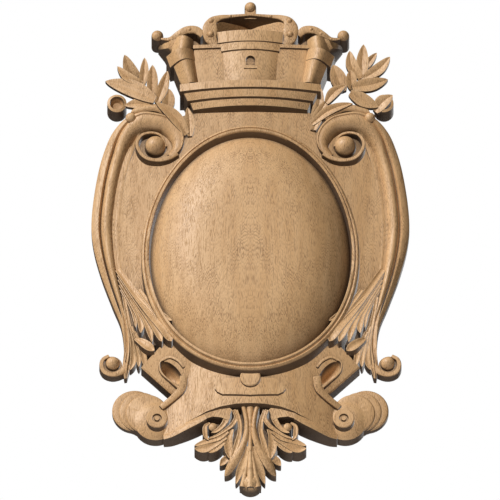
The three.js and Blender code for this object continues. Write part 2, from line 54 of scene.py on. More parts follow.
# %% Closing a carved skin into a solid
STOCK = 5.0  # every form runs this far behind the back, and one cut at the end makes the back flat


def closed_shell(skin, ring=False, thick=None):
    """Vertices and triangles of the solid under a skin[row, rail] of [x, z, depth] in millimetres: the skin
    itself, the same grid pushed behind the back, or back by thick for a leaf that stands free, and walls
    round the edge. A ring joins its last row to its first. Points that coincide are merged, and the shell is
    turned outward by the sign of its volume."""
    rows, rails = skin.shape[:2]
    front = np.stack([skin[..., 0], -skin[..., 2], skin[..., 1]], -1).reshape(-1, 3)
    back = front * [1, 0, 1] + [0, STOCK, 0] if thick is None else front + [0, thick, 0]
    index = np.arange(rows * rails).reshape(rows, rails)
    if ring:
        index = np.vstack([index, index[:1]])
    far = index + rows * rails

    def quads(a, b, c, d):
        return np.stack([a, b, c, d], -1).reshape(-1, 4)

    faces = [quads(index[:-1, :-1], index[:-1, 1:], index[1:, 1:], index[1:, :-1]),
             quads(far[1:, :-1], far[1:, 1:], far[:-1, 1:], far[:-1, :-1]),
             quads(index[1:, 0], far[1:, 0], far[:-1, 0], index[:-1, 0]),
             quads(index[:-1, -1], far[:-1, -1], far[1:, -1], index[1:, -1])]
    if not ring:
        faces += [quads(index[0, 1:], index[0, :-1], far[0, :-1], far[0, 1:]),
                  quads(index[-1, :-1], index[-1, 1:], far[-1, 1:], far[-1, :-1])]
    faces = np.vstack(faces)
    triangles = np.vstack([faces[:, [0, 1, 2]], faces[:, [0, 2, 3]]])
    places = np.vstack([front, back])
    _, first, same = np.unique(np.round(places, 3), axis=0, return_index=True, return_inverse=True)
    triangles = same.reshape(-1)[triangles]
    a, b, c = triangles.T
    triangles = triangles[(a != b) & (b != c) & (c != a)]
    places = places[first]
    corners = places[triangles]
    volume = np.einsum("ij,ij->", corners[:, 0], np.cross(corners[:, 1], corners[:, 2]))
    return places, triangles if volume > 0 else triangles[:, ::-1]


def mirrored(shell):
    """The same solid on the other side: x changes sign and every triangle runs the other way round."""
    return shell[0] * [-1, 1, 1], shell[1][:, ::-1]


# %% [markdown]
# ## Uniting solids
# Blender's Boolean modifier can join a whole collection of closed meshes at once. Its Manifold solver is fast
# and never leaves a hole as long as each mesh is closed, and the shells above always are.

# %% Joining and cutting
def as_object(shell, name):
    """A mesh object from one shell, in metres."""
    mesh = bpy.data.meshes.new(name)
    places, triangles = shell
    mesh.from_pydata((places * MM).tolist(), [], triangles.tolist())
    return bpy.data.objects.new(name, mesh)


def combined(first, others, operation):
    """The first solid joined with, or cut by, all the others, as one shell in millimetres."""
    group = bpy.data.collections.new("operands")
    bpy.context.scene.collection.children.link(group)
    made = [as_object(shell, "operand") for shell in others]
    for thing in made:
        group.objects.link(thing)
    base = as_object(first, "base")
    bpy.context.scene.collection.objects.link(base)
    cut = base.modifiers.new("combine", "BOOLEAN")
    cut.operand_type, cut.collection = "COLLECTION", group
    cut.operation, cut.solver = operation, "MANIFOLD"
    result = bpy.data.meshes.new_from_object(base.evaluated_get(bpy.context.evaluated_depsgraph_get()))
    result.calc_loop_triangles()
    places = np.empty(len(result.vertices) * 3)
    result.vertices.foreach_get("co", places)
    triangles = np.empty(len(result.loop_triangles) * 3, dtype=np.int32)
    result.loop_triangles.foreach_get("vertices", triangles)
    for thing in [*made, base]:
        bpy.data.meshes.remove(thing.data)
    bpy.data.meshes.remove(result)
    bpy.data.collections.remove(group)
    return places.reshape(-1, 3) / MM, triangles.reshape(-1, 3)


def united(shells):
    return combined(shells[0], shells[1:], "UNION")


def cut_by(shell, tools):
    return combined(shell, tools, "DIFFERENCE")


# %% [markdown]
# ## Sweeping a section along a route
# Scrolls, bands, leaves and arches are all a gouge's path: a section carried along a curve. The curve goes
# through a few measured points, each with its depth and width, and the section is a short list of offsets.

# %% Routes, ribbons and lobes
def along(route, per_span):
    """Points on a centripetal Catmull-Rom curve through [x, z, depth, width]. Between two points the curve is
    the cubic whose end slopes come from the neighbours, weighted by the square root of their distances.
    Returns place[n, 4], the unit direction across (to the right of travel) and the position in spans."""
    points = np.array(route, float)
    points = np.vstack([2 * points[0] - points[1], points, 2 * points[-1] - points[-2]])
    spans = len(route) - 1
    at = np.linspace(0, spans, spans * per_span + 1)
    span = np.minimum(at.astype(int), spans - 1)
    w = (at - span)[:, None]
    p0, p1, p2, p3 = (points[span + k] for k in range(4))
    d0, d1, d2 = (np.maximum(((b[:, :3] - a[:, :3]) ** 2).sum(1, keepdims=True), 1e-8) ** 0.25
                  for a, b in ((p0, p1), (p1, p2), (p2, p3)))
    m1 = ((p1 - p0) / d0 - (p2 - p0) / (d0 + d1) + (p2 - p1) / d1) * d1
    m2 = ((p2 - p1) / d1 - (p3 - p1) / (d1 + d2) + (p3 - p2) / d2) * d1
    c2 = -3 * p1 + 3 * p2 - 2 * m1 - m2
    c3 = 2 * p1 - 2 * p2 + m1 + m2
    place = p1 + m1 * w + c2 * w ** 2 + c3 * w ** 3
    ahead = m1 + 2 * c2 * w + 3 * c3 * w ** 2
    ahead = ahead[:, :2] / np.linalg.norm(ahead[:, :2], axis=1, keepdims=True)
    return place, np.stack([ahead[:, 1], -ahead[:, 0]], 1), at


def ribbon(route, section, per_span=6, tip=0, thick=None):
    """A skin swept on a route: section(depth, width, at) gives offsets and depths, each [n, rails]. Over the
    last tip spans the width rounds off as a quarter circle, the square root of 1 - s^2."""
    place, across, at = along(route, per_span)
    depth, width = place[:, 2:3], place[:, 3:4]
    if tip:
        s = np.clip((at - at[-1] + tip) / tip, 0, 1)[:, None]
        width = width * np.sqrt(1 - s ** 2)
    width = np.maximum(width, 0.3)
    offset, level = section(depth, width, at[:, None])
    offset, level = offset + 0 * level, level + 0 * offset
    x = place[:, :1] + across[:, :1] * offset
    z = place[:, 1:2] + across[:, 1:] * offset
    return closed_shell(np.stack([x, z, level], -1), thick=thick)


def lobe(route, hollow=2.2, rails=9, per_span=6, tip=0.8):
    """A lobe scooped out along its middle: depth less hollow times (1 - (2u)^2), with softened edges."""
    u = np.linspace(-0.5, 0.5, rails)
    soft = 0.9 * np.clip(np.abs(2 * u) - 0.75, 0, 1) / 0.25

    def section(depth, width, at):
        scoop = np.minimum(hollow, width / 3.5) * (1 - (2 * u) ** 2)
        return u * width, depth - scoop - soft * np.minimum(1, width / 5)
    return ribbon(route, section, per_span, tip)


def reed(route, rise=2.0, rails=9, per_span=6, tip=0.8):
    """A rounded strand: depth plus rise times (1 - (2u)^2) less the rise, u from edge to edge."""
    u = np.linspace(-0.5, 0.5, rails)

    def section(depth, width, at):
        return u * width, depth - np.minimum(rise, width / 2.5) * (2 * u) ** 2
    return ribbon(route, section, per_span, tip)


def table(width_parts, drops):
    """A section from two lists: parts of the width, and how far each lies under the route."""
    parts, drops = np.array(width_parts), np.array(drops)
    return lambda depth, width, at: (parts * width, depth - drops)


flat = table([-0.5, -0.44, -0.3, 0.3, 0.44, 0.5], [1.4, 0.5, 0, 0, 0.5, 1.4])


def half_round(route, edge, rails=15, per_span=6):
    """A half-round member: its depth goes from edge to the route's depth as the sine of the angle across."""
    t = np.linspace(0, 1, rails)
    rise = np.sin(np.pi * (0.06 + 0.88 * t))
    return ribbon(route, lambda depth, width, at: ((t - 0.5) * width, edge + (depth - edge) * rise),
        per_span)

# %% [markdown]
# ## Discs, balls and bowed mouldings
# Turned and round forms are profiles carried round a centre, and the crown's mouldings are profiles carried
# across with a slight bow.

# %% Discs, balls, mouldings and blocks
def disc(place, radius, profile, sides=48, height=None):
    """A profile of [part of the radius, depth] carried round a place; height makes it an oval."""
    turn = np.linspace(0, 2 * np.pi, sides, endpoint=False)[:, None]
    part, depth = np.array(profile, float).T
    x = place[0] + radius * part * np.cos(turn)
    z = place[1] + (height or radius) * part * np.sin(turn)
    return closed_shell(np.stack([x, z, depth + 0 * x], -1), ring=True)


def ball(x, z, depth, radius, sides=32):
    """A ball on a round stub: depth plus radius times the cosine, from the pole to the widest circle."""
    turn = np.linspace(0, np.pi / 2, 9)
    return disc((x, z), radius, np.stack([np.sin(turn), depth + radius * np.cos(turn)], 1), sides)


def bowed(rows, bow, spans=32):
    """A moulding from rows [z, half width, depth at the ends]: depth plus bow times (1 - s^2) across."""
    s = np.linspace(-1, 1, spans + 1)
    z, half, end = (np.array(rows, float)[:, [k]] for k in range(3))
    return closed_shell(np.stack([half * s, z + 0 * s, end + bow * (1 - s ** 2)], -1))


def block(outline, depth):
    """A straight-sided block on an outline of [x, z]: its skin is the outline's face, cut into triangles by
    Blender.
    """
    mesh = bpy.data.meshes.new("outline")
    places = np.array(outline, float)
    count = len(places)
    area = np.sum(places[:, 0] * np.roll(places[:, 1], -1) - places[:, 1] * np.roll(places[:, 0], -1))
    if area < 0:
        places = places[::-1]
    mesh.from_pydata([(x, 0, z) for x, z in places.tolist()], [], [list(range(count))])
    mesh.calc_loop_triangles()
    cap = np.empty(len(mesh.loop_triangles) * 3, dtype=np.int32)
    mesh.loop_triangles.foreach_get("vertices", cap)
    bpy.data.meshes.remove(mesh)
    cap = cap.reshape(-1, 3)
    i = np.arange(count)
    j = (i + 1) % count
    walls = np.vstack([np.stack([i, j, j + count], 1), np.stack([i, j + count, i + count], 1)])
    level = np.broadcast_to(depth, count)
    front = np.stack([places[:, 0], -level, places[:, 1]], 1)
    back = np.stack([places[:, 0], np.full(count, STOCK), places[:, 1]], 1)
    shell = np.vstack([front, back]), np.vstack([cap, cap[:, ::-1] + count, walls[:, ::-1]])
    corners = shell[0][shell[1]]
    volume = np.einsum("ij,ij->", corners[:, 0], np.cross(corners[:, 1], corners[:, 2]))
    return shell[0], shell[1] if volume > 0 else shell[1][:, ::-1]

# %% [markdown]
# ## The oval field and its ring
# The ring is a moulding that a carver scrapes round the oval: a fillet, a torus and two fine beads. Its crest
# lies highest at the top and foot and falls towards the sides, because the whole panel is bowed. The field
# inside is a shallow dome that drops quickly just before the ring.

# %% Ring and field
RING_HALF_WIDTH, RING_HALF_HEIGHT = 115.5, 145.0
RING_CREST, RING_BOW = 66.0, 21.0
FIELD_DROP, FIELD_MIDDLE, FIELD_ROUND = 17.0, 71.0, 4
RING_SECTION = [[-2.2, 17], [-0.6, 4], [0, 0.9], [0.5, 0.3], [2.4, 0], [3, 0.4], [3.6, 2.4], [4.2, 3.4],
                [4.6, 2.9], [5.4, 2.4], [6.4, 2.6], [7.2, 3.2], [8, 4.6], [8.4, 8]]


def crest_at(x):
    """Depth of the ring's crest: highest in the middle, lower by the square of x."""
    return RING_CREST - RING_BOW * (x / RING_HALF_WIDTH) ** 2


def oval_rows(outs, level, sides=200):
    """Rails round the oval: out is measured from the inner edge of the crest, level gives the depth."""
    turn = np.linspace(0, 2 * np.pi, sides, endpoint=False)[:, None]
    outs = np.array(outs, float)
    x, z = (RING_HALF_WIDTH + outs) * np.cos(turn), (RING_HALF_HEIGHT + outs) * np.sin(turn)
    return closed_shell(np.stack([x, z, level(np.clip(np.abs(x), 0, RING_HALF_WIDTH))], -1), ring=True)


section = np.array(RING_SECTION)
ring = oval_rows(section[:, 0], lambda x: crest_at(x) - section[:, 1])

turn = np.linspace(0, 2 * np.pi, 200, endpoint=False)[:, None]
part = np.array([0, 0.3, 0.5, 0.62, 0.72, 0.8, 0.86, 0.9, 0.94, 0.97, 1])
field = closed_shell(np.stack([
    (RING_HALF_WIDTH - 2 + 2.7 * part) * part * np.cos(turn),
    (RING_HALF_HEIGHT - 2 + 2.7 * part) * part * np.sin(turn),
    FIELD_MIDDLE + (crest_at(RING_HALF_WIDTH * np.cos(turn)) - FIELD_DROP - FIELD_MIDDLE) * part ** FIELD_ROUND,
], -1), ring=True)
print("ring triangles:", len(ring[1]), "field triangles:", len(field[1]))

# %% [markdown]
# ## Side bands and their volutes
# Each side band is a run of fillet, bead and hollow that swells, climbs and turns into a volute with a ball
# in its eye, and at its foot it curls outward round a smaller ball.

# %% Side band
BAND_ROUTE = [
  [-143, -141, 13, 3], [-145, -126.5, 14.5, 9], [-143.5, -104, 15, 11], [-146.5, -76.5, 16, 13],
  [-156.5, -49, 17, 17], [-169.5, -11, 17, 24], [-178, 23.5, 17, 30], [-180.5, 52.5, 17, 32],
  [-174.5, 107, 18, 32], [-166, 142, 20, 32], [-156, 164, 24, 31], [-141, 179, 29, 28],
  [-123, 184.5, 33, 24], [-106, 182.5, 34, 21.5], [-91.5, 177.5, 34, 20], [-79.5, 165.5, 34, 19],
  [-75, 151.5, 34, 17], [-78, 138, 34, 12], [-88, 126.5, 34, 8],
]
SCROLL_TURN = [
  [-83.5, 132.5, 34, 8], [-93, 125.5, 34, 5.5], [-105, 123, 34, 4.5], [-118.5, 126, 34, 4],
  [-126.5, 135, 34, 4], [-128.5, 145, 34, 4], [-123, 155, 33.5, 3.5], [-111, 158, 33, 3],
  [-101, 154, 32.5, 3], [-95.5, 141.5, 31, 2.5],
]
FOOT_CURL = [
  [-139, -123, 14, 9], [-145.5, -132, 14.5, 7.5], [-156.5, -136.5, 14.5, 5.4], [-165.5, -133, 14.5, 5.2],
  [-169, -125, 14.5, 5], [-167, -117, 14.5, 4.6], [-160.5, -113, 14.5, 4.4],
]
BAND = np.array([[0, 5.6], [0.03, 4.4], [0.08, 3], [0.2, 0.4], [0.25, 0.2], [0.3, 3], [0.335, 4.6],
    [0.37, 1.6],
                 [0.42, -1], [0.48, -2.4], [0.54, -2.8], [0.62, -2.2], [0.69, -0.6], [0.75, 2.2],
                  [0.79, 5.4],
                 [0.83, 5.8], [0.85, 1.4], [0.93, 0.6], [1, 0.8]])
SCROLL = np.array([[0, 1.5], [0.03, 0.4], [0.06, 0], [0.09, 0], [0.12, 0], [0.14, 0.6], [0.16, 1.2],
    [0.22, 1.3],
                   [0.28, 1.2], [0.35, 1.2], [0.45, 1.6], [0.55, 2.2], [0.65, 3.2], [0.75, 4.6],
                    [0.82, 6],
                   [0.88, 7.6], [0.92, 9], [0.96, 10.5], [1, 12]])


def band_section(depth, width, at):
    """The band's section, which turns into the volute's between the route's points 9 and 12."""
    turn = np.clip((at - 9) / 3, 0, 1)
    parts = BAND[:, 0] + (SCROLL[:, 0] - BAND[:, 0]) * turn
    drops = BAND[:, 1] + (SCROLL[:, 1] - BAND[:, 1]) * turn
    return parts * width, depth - drops * np.minimum(1, width / 18)


side = [
    ribbon(BAND_ROUTE, band_section, 8),
    ball(-107.5, 143.5, 25, 12.3, 40),
    ribbon(SCROLL_TURN, flat, 8),
    ribbon(FOOT_CURL, flat, 8),
    disc((-157.5, -124), 12.4, [[0, 9], [1, 9]], 32),
    ball(-156, -122, 11, 8.3),
]
print("side band triangles:", sum(len(shell[1]) for shell in side))

# %% [markdown]
# ## Ground, lower plate and strap
# Behind the ring lies a bowed ground. Below it the plate bows forward, with a bevel on its lower edge, and a
# strap with a scooped hollow fills the corner between the plate and the band.

# %% Ground and plate
PLATE_OUTLINE = [
  [-62, -110], [-71, -151], [-73, -162.5], [-82, -173], [-98, -184], [-107, -203.5],
  [-102.5, -214], [-92.5, -212.5], [-75.5, -204.5], [-55.5, -196], [-49.5, -193], [-34.5, -188.5],
   [-16.5, -186],
  [0, -185.5],
]
PLATE_BEVEL = [[-99, -215, 21, 8], [-91.5, -214, 25, 8.5], [-83.5, -211.5, 29, 8.5],
               [-73, -207.5, 33.5, 8.5], [-63, -203, 36, 8.5], [-51.5, -198, 38, 7]]
FLANGE_ROUTE = [
  [-101.5, -182.5, 25, 7], [-85.5, -171, 32, 8], [-77.5, -162.5, 36, 9], [-75.5, -150, 39, 9],
]
HOLLOW_RIM = [[-77.5, -164, 31, 3.4], [-90.5, -151, 30, 3.6], [-101, -139.5, 29, 3.6],
              [-103, -131, 29.5, 3.6], [-99, -125, 30.5, 3.6], [-91.5, -122.5, 32, 3.6],
              [-82, -127.5, 33.5, 3.4], [-75.5, -136, 34, 3]]


def ground_at(x):
    return 31 - 16 * np.minimum(1, np.abs(x) / 150) ** 1.5


def plate_at(x):
    return 43 - 0.00255 * x * x


def both_sides(outline):
    """The whole outline from its left half: the half, then the same points on the right in turn."""
    half = [tuple(point) for point in outline]
    return half + [(-x, z) for x, z in reversed(half) if x != 0]


place, across, _ = along(BAND_ROUTE[2:12], 4)
half_width = np.abs(place[:, 0] + across[:, 0] * place[:, 3] * 0.7)
edge_z = place[:, 1] + across[:, 1] * place[:, 3] * 0.7
half_width, edge_z = np.append(half_width, [62, 58]), np.append(edge_z, [187, 213])
s = np.linspace(-1, 1, 25)
x = half_width[:, None] * s
ground = closed_shell(np.stack([x, edge_z[:, None] + 0 * x, ground_at(x)], -1))

s = np.linspace(-112, 112, 41)
z = np.array([-250.0, -90.0])[:, None]


def plate_skin(lift):
    return closed_shell(np.stack([s + 0 * z, z + 0 * s, plate_at(s) + lift + 0 * z], -1))


lower_plate = combined(block(both_sides(PLATE_OUTLINE), 44), [plate_skin(0)], "INTERSECT")
BEVEL_DROP = 5.0
bevel = ribbon(PLATE_BEVEL, lambda depth, width, at: (np.array([0.75, 0.5, 0, -0.5]) * width,
                                                      depth - BEVEL_DROP * np.array([0, 0, 0.4, 1])), 6)
side += [bevel, ribbon(FLANGE_ROUTE, flat, 6)]

# %% Strap with its hollow
strap_from, strap_to = np.array([-124, -131]), np.array([-84.5, -169.5])
inward = np.array([strap_from[1] - strap_to[1],
    strap_to[0] - strap_from[0]]) / np.hypot(*(strap_to - strap_from))
inset, level = np.array([[0, 20], [1.5, 22], [12, 25], [28, 29], [42, 32]], float).T
t = np.linspace(0, 1, 5)[:, None]
strap = closed_shell(np.stack([strap_from[0] + (strap_to[0] - strap_from[0]) * t + inward[0] * inset,
                               strap_from[1] + (strap_to[1] - strap_from[1]) * t + inward[1] * inset,
                               level + 0 * t], -1))


def bowl(place, long, wide, lean, floor, top, sides=40):
    """A scooping tool: an oval that narrows with the cosine of the way down, from above the skin to floor."""
    turn = np.linspace(0, 2 * np.pi, sides, endpoint=False)[:, None]
    down = np.linspace(0, np.pi / 2, 10)
    across_it, along_it = wide * np.sin(turn) * np.cos(down), long * np.cos(turn) * np.cos(down)
    x = place[0] + along_it * np.cos(lean) - across_it * np.sin(lean)
    z = place[1] + along_it * np.sin(lean) + across_it * np.cos(lean)
    y = -top + (top - floor) * np.sin(down) + 0 * x
    rim = np.stack([x, y, z], -1)
    lid = rim[:, :1] + [0, -60, 0]
    places, index = np.concatenate([lid, rim], 1).reshape(-1, 3), np.arange(sides * 11).reshape(sides, 11)
    index = np.vstack([index, index[:1]])
    faces = np.stack([index[:-1, :-1], index[1:, :-1], index[1:, 1:], index[:-1, 1:]], -1).reshape(-1, 4)
    fan = np.stack([np.full(sides, sides * 11), index[1:, 0], index[:-1, 0]], 1)
    places = np.vstack([places, places[index[:-1, 0]].mean(0)])
    triangles = np.vstack([faces[:, [0, 1, 2]], faces[:, [0, 2, 3]], fan])
    _, first, same = np.unique(np.round(places, 3), axis=0, return_index=True, return_inverse=True)
    triangles = same.reshape(-1)[triangles]
    a, b, c = triangles.T
    triangles = triangles[(a != b) & (b != c) & (c != a)]
    corners = places[first][triangles]
    volume = np.einsum("ij,ij->", corners[:, 0], np.cross(corners[:, 1], corners[:, 2]))
    return places[first], triangles if volume > 0 else triangles[:, ::-1]


rim = ribbon(HOLLOW_RIM, table([-0.5, -0.35, 0, 0.35, 0.5], [1.2, 0.2, 0, 0.2, 1.2]), 6)
hollow = bowl([-90, -140.5], 17.5, 8.4, -0.86, 10, 32)
side += [cut_by(united([strap, rim]), [hollow])]

# %% [markdown]
# ## Rolled corners
# The lower corners of the plate roll up like paper, so several discs of growing depth stand one in front of
# the other, with a small snail shell on the front one.

# %% Corner rolls
ROLLS = [[-131.5, -179, 25.4, 9.5], [-124.5, -182, 24.6, 13], [-117.5, -186, 24.2, 16.5]]
side += [disc((x, z), radius, [[0, depth], [0.86, depth], [0.95, depth - 0.8], [1, depth - 2.4]], 64)
         for x, z, radius, depth in ROLLS]
side += [disc([-107.5, -195], 24.6, [[0, 21.5], [0.5, 21], [0.66, 20], [0.82, 18.4], [1, 16]], 64),
         disc([-106, -199], 12, [[0, 30.6], [0.2, 30.6], [0.26, 28], [0.4, 28], [0.46, 31.6],
             [0.93, 31.6],
                                   [1, 30.6]], 48)]

# %% [markdown]
# ## The mural crown
# Three bowed mouldings carry a middle tower with two leaning side towers. Each tower ends in scalloped arches
# with pearls, and a ball stands on top.

# %% Crown base and towers
base = [bowed([[200.8, 80, 51], [209.6, 80, 51]], 13),
    bowed([[192.3, 71.4, 43.5], [203, 76.5, 45.5]], 13),
        bowed([[184.5, 65, 36], [195, 69, 38]], 13)]
tower = [bowed([[209, 28.5, 45], [254, 31.5, 45]], 7), bowed([[252, 33, 49], [261, 34, 49]], 7),
         bowed([[261, 36.5, 52], [274.5, 37.5, 52]], 7)]
turn = np.linspace(0, np.pi, 17)
window = [*zip(5.4 * np.cos(turn), 240 + 5.4 * np.sin(turn)), (-5.4, 233.5), (5.4, 233.5)]
floor_of_window = closed_shell(np.array([[[-20, 200, 42], [20, 200, 42]],
    [[-20, 270, 42], [20, 270, 42]]], float))
opening = combined(block(window, 70), [floor_of_window], "DIFFERENCE")
u = np.array([-1, -0.5, 0, 0.5, 1])
rows = np.array([[268, 42], [290, 42], [296.5, 34], [300.5, 10]], float)
recess = closed_shell(np.stack([rows[:, 1:] * u, rows[:, :1] + 0 * u,
                                8 + np.abs(u) * rows[:, 1:] * 36 / 40], -1))
marks = [bowed([[z, 1.5, 55.6], [z + 1.8, 1.5, 55.6]], 0, 1) for z in (253.6, 257.4)]
marks = [(shell[0] + [x, 1.2 * (x / 33) ** 2 * 5, 0], shell[1])
         for shell, shift in zip(marks, (0, 2.4)) for x in np.arange(-28 + shift, 29, 4.8)]
middle_tower = united([cut_by(united(tower), [opening]), recess, *marks,
                       bowed([[228.5, 7.5, 54.5], [231, 7.5, 54.5]], 0)])
curtain = [bowed([[209, 64, 41], [259, 64, 41]], 4), bowed([[257, 65, 46], [261, 65, 46]], 4)]

MAIN_ARCH = [[0, 300.5, 44, 3], [-23, 298.5, 44, 4.5], [-35, 296.5, 45, 6.8], [-42.5, 292, 46, 11],
             [-45.5, 284.5, 46, 16.5], [-45.5, 277, 46, 17], [-44, 269.5, 45, 14.5], [-39, 262.5, 45, 7]]
SIDE_ARCH = [
  [-101.5, 274, 36, 2.5], [-91.5, 273, 38, 5], [-82, 277.5, 41, 8], [-72, 282.5, 42, 9.5],
  [-61.5, 282.5, 42, 9.5], [-54, 276, 42, 8],
]
side += [half_round(route, 35) for route in [ 
  [[-67, 213.5, 49, 21], [-75, 244.5, 51, 27]],
  [[-76, 240.5, 54, 31], [-79.5, 254, 54, 33]],
  [[-78, 249.5, 50, 25], [-76.5, 261, 50, 24], [-75, 272.5, 48, 21]],
]]
flank = closed_shell(np.array([
    [[*[-102.5, 281], 20], [*[-89, 270.5], 40], [*[-73, 274.5], 42]],
    [[*[-104.5, 271], 12], [*[-93.5, 262], 36], [*[-73, 262], 42]],
    [[*[-97, 260.5], 8], [*[-88, 255], 30], [*[-73, 251.5], 38]],
    [[*[-91.5, 248.5], 6], [*[-84.5, 242], 26], [*[-71, 238], 34]],
    [[*[-77.5, 232], 4], [*[-73, 227], 20], [*[-61.5, 225], 30]]], float))
side += [ribbon(MAIN_ARCH, flat), ribbon(SIDE_ARCH, flat), flank,
         block([[-76.5, 229.5], [-43.5, 254.5], [-43.5, 289.5], [-73, 292], [-89, 282]], 20)]
PEARLS = [[-44.5, 291.5, 45, 3.2], [-45, 275, 45, 3.9], [-69, 283, 41, 2.4], [-80, 278, 40, 2.2],
          [-91.5, 272.5, 37, 1.6], [-23, 298, 44, 2], [-105.5, 279.5, 30, 6.8]]
side += [ball(*pearl, 20) for pearl in PEARLS]
top = [ball(0, 312.4, 36, 6.6), bowed([[298, 7, 38], [311, 5.5, 38]], 0)]
print("crown triangles:", len(middle_tower[1]))

# %% [markdown]
# ## Laurel
# A laurel leaf is two slopes that meet along its midrib, mostly sunk as a fold and now and then raised as a
# ridge. The leaves are thin and stand free at their tips. The two sprays differ, as they were cut by eye.

# %% Laurel leaves
LEFT_SPRAY = [
  { "root": [-123, 221], "tip": [-143, 255.5], "width": 15, "bend": -3, "depth": [24, 32] },
  { "root": [-123, 220.5], "tip": [-151, 242.5], "width": 11, "bend": -4, "depth": [31, 29] },
  { "root": [-123, 217], "tip": [-120, 251.5], "width": 10, "bend": 1, "depth": [30, 33] },
  { "root": [-108.5, 197.5], "tip": [-164.5, 225.5], "width": 20, "bend": 3, "depth": [35, 26] },
  { "root": [-111.5, 203.5], "tip": [-111, 241], "width": 12.5, "bend": 0, "depth": [31, 36] },
  { "root": [-106, 195], "tip": [-94, 234], "width": 12, "bend": 1, "depth": [32, 35] },
  { "root": [-93.5, 187], "tip": [-92.5, 213], "width": 14.5, "bend": 0, "depth": [28, 32] },
  { "root": [-72, 156], "tip": [-107, 193.5], "width": 14, "bend": 4, "depth": [32, 37] },
  { "root": [-68.5, 154.5], "tip": [-71.5, 190.5], "width": 11, "bend": 1, "depth": [30, 30] },
  { "root": [-114, 192.5], "tip": [-142.5, 194.5], "width": 12, "bend": 2, "depth": [31, 27] },
]
RIGHT_SPRAY = [
  { "root": [125.5, 224], "tip": [128.5, 268.5], "width": 14, "bend": 0, "depth": [30, 32] },
  { "root": [125.5, 226.5], "tip": [112.5, 260], "width": 13.5, "bend": -4, "depth": [31, 33] },
  { "root": [126.5, 237], "tip": [143.5, 259.5], "width": 9, "bend": 0, "depth": [27, 29] },
  { "root": [129, 227], "tip": [158.5, 253.5], "width": 13.5, "bend": 3, "depth": [31, 31] },
  { "root": [115.5, 214], "tip": [156, 226.5], "width": 16, "bend": 2, "depth": [34, 28] },
  { "root": [113, 206.5], "tip": [145, 191], "width": 16, "bend": 1, "depth": [35, 30] },
  { "root": [141.5, 187], "tip": [161.5, 207], "width": 15, "bend": -2, "depth": [26, 28] },
  { "root": [105, 210.5], "tip": [94, 242.5], "width": 18, "bend": 0, "depth": [30, 33] },
  { "root": [115.5, 213], "tip": [113.5, 235.5], "width": 12, "bend": 0, "depth": [30, 34] },
  { "root": [86, 194], "tip": [108.5, 216], "width": 12, "bend": -3, "depth": [35, 35] },
  { "root": [71, 162], "tip": [80.5, 214.5], "width": 13, "bend": 1, "depth": [30, 30] },
  { "root": [70, 168.5], "tip": [116, 193], "width": 11, "bend": -5, "depth": [33, 36] },
  { "root": [72, 162], "tip": [88, 199], "width": 12, "bend": -2, "depth": [31, 33] },
]


def leaf(root, tip, width, bend, depth, fold=-2.6, thick=6):
    """A leaf of two slopes: half its width is a power of the sine of the way along, it bends by a sine too,
    and from the midrib to the edge its depth changes by the fold, down for a ridge and up for a fold."""
    root, tip = np.array(root, float), np.array(tip, float)
    t = np.linspace(0, 1, 17)[:, None]
    ahead = (tip - root) / np.linalg.norm(tip - root)
    right = np.array([ahead[1], -ahead[0]])
    swell = np.sin(np.pi * np.clip(0.1 + 0.9 * t, 0, 1)) ** 0.72 + 0.02
    middle = root + (tip - root) * t + right * bend * np.sin(np.pi * t)
    u = np.linspace(-1, 1, 9)
    x = middle[:, :1] + right[0] * swell * u * width / 2
    z = middle[:, 1:] + right[1] * swell * u * width / 2
    level = depth[0] + (depth[1] - depth[0]) * t - fold * swell * np.abs(u) - 0.8 * swell * u ** 4
    return closed_shell(np.stack([x, z, level], -1), thick=thick)


leaves = [leaf(**each) for each in LEFT_SPRAY + RIGHT_SPRAY]

STEM = [[-84.5, 175.5, 33, 8], [-106, 189.5, 33, 9], [-125.5, 187.5, 32, 8], [-135.5, 184.5, 31, 8]]
side += [reed(STEM, 2), ball(-135.5, 178.5, 27, 6.4),
         disc((-151.5, 197.5), 11, [[0, 17], [0.4, 17.6], [0.58, 19.5], [0.68, 23], [0.74, 27], [1, 26]],
             40)]
print("leaves:", len(leaves))

# %% [markdown]
# ## Acanthus and palmette
# Both are bundles of lobes that start together and fan out, each hollowed along its middle and rounded at its
# tip.

